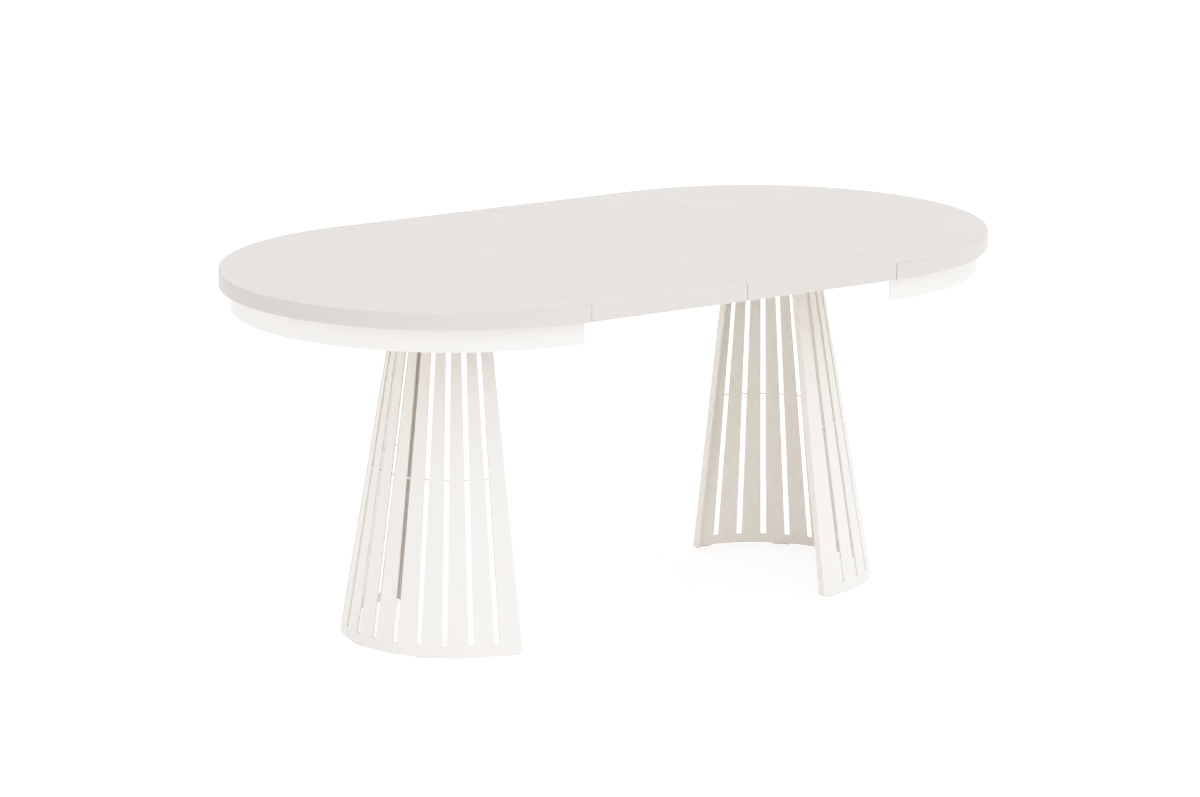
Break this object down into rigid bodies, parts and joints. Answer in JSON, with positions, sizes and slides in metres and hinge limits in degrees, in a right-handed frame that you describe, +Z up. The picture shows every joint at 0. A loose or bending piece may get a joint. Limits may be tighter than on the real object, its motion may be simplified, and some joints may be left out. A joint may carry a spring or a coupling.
{
  "type": "extendable dining table",
  "caption": "Round dining table opened to an oval by loose leaves, on slotted half-cone pedestals that slide apart with the half-round ends.",
  "frame": {"origin": "on the floor, under the middle of the open table", "axes": "+X along the length, +Z up, +Y towards the back; the picture looks from the front left"},
  "size_m": [1.7598, 1, 0.78],
  "materials": {
    "top_lacquer": "matt cashmere lacquer on a smooth board",
    "frame_paint": "matt warm-white powder coat on steel sheet and plate",
    "beech": "planed beech, unfinished",
    "dowel_beech": "turned beech dowel",
    "slide_steel": "rolled zinc-plated steel",
    "zinc_steel": "zinc-plated screws",
    "nylon": "moulded nylon",
    "bumper_rubber": "moulded rubber"
  },
  "bodies": {
    "root": {"back_slide_bumpers": "bumper_rubber", "back_slide_middle": "slide_steel", "front_slide_bumpers": "bumper_rubber", "front_slide_middle": "slide_steel"},
    "leaf_left": {"leaf_left": "top_lacquer", "leaf_left_pins": "dowel_beech"},
    "leaf_right": {"leaf_right": "top_lacquer", "leaf_right_pins": "dowel_beech"},
    "left_half": {"left_apron": "frame_paint", "left_apron_screws": "zinc_steel", "left_apron_tabs": "frame_paint", "left_back_channel": "slide_steel", "left_back_channel_screws": "zinc_steel", "left_back_runner": "beech", "left_front_channel": "slide_steel", "left_front_channel_screws": "zinc_steel", "left_front_runner": "beech", "left_glides": "nylon", "left_head_bolts": "zinc_steel", "left_pedestal_gussets": "frame_paint", "left_pedestal_head": "frame_paint", "left_pedestal_shell": "frame_paint", "left_runner_screws": "zinc_steel", "left_top": "top_lacquer", "left_top_pins": "dowel_beech"},
    "left_cages": {"left_back_cage": "slide_steel", "left_front_cage": "slide_steel"},
    "right_half": {"right_apron": "frame_paint", "right_apron_screws": "zinc_steel", "right_apron_tabs": "frame_paint", "right_back_channel": "slide_steel", "right_back_channel_screws": "zinc_steel", "right_back_runner": "beech", "right_front_channel": "slide_steel", "right_front_channel_screws": "zinc_steel", "right_front_runner": "beech", "right_glides": "nylon", "right_head_bolts": "zinc_steel", "right_pedestal_gussets": "frame_paint", "right_pedestal_head": "frame_paint", "right_pedestal_shell": "frame_paint", "right_runner_screws": "zinc_steel", "right_top": "top_lacquer"},
    "right_cages": {"right_back_cage": "slide_steel", "right_front_cage": "slide_steel"}
  },
  "joints": [
    {"name": "left_half_slide", "type": "slide", "parent": "root", "child": "left_half", "axis": [1, 0, 0], "range_m": [0, 0.38]},
    {"name": "right_half_slide", "type": "slide", "parent": "root", "child": "right_half", "axis": [-1, 0, 0], "range_m": [0, 0.38]},
    {"name": "left_cage_slide", "type": "slide", "parent": "root", "child": "left_cages", "axis": [1, 0, 0], "range_m": [0, 0.19]},
    {"name": "right_cage_slide", "type": "slide", "parent": "root", "child": "right_cages", "axis": [-1, 0, 0], "range_m": [0, 0.19]},
    {"name": "leaf_left_lift", "type": "slide", "parent": "root", "child": "leaf_left", "axis": [0, 0, 1], "range_m": [0, 0.475]},
    {"name": "leaf_right_lift", "type": "slide", "parent": "root", "child": "leaf_right", "axis": [0, 0, 1], "range_m": [0, 0.475]}
  ],
  "couplings": [
    {"joint": "left_cage_slide", "follows": "left_half_slide", "ratio": 0.5},
    {"joint": "right_cage_slide", "follows": "right_half_slide", "ratio": 0.5},
    {"joint": "leaf_left_lift", "follows": "left_half_slide", "ratio": 1.25},
    {"joint": "leaf_right_lift", "follows": "right_half_slide", "ratio": 1.25}
  ]
}
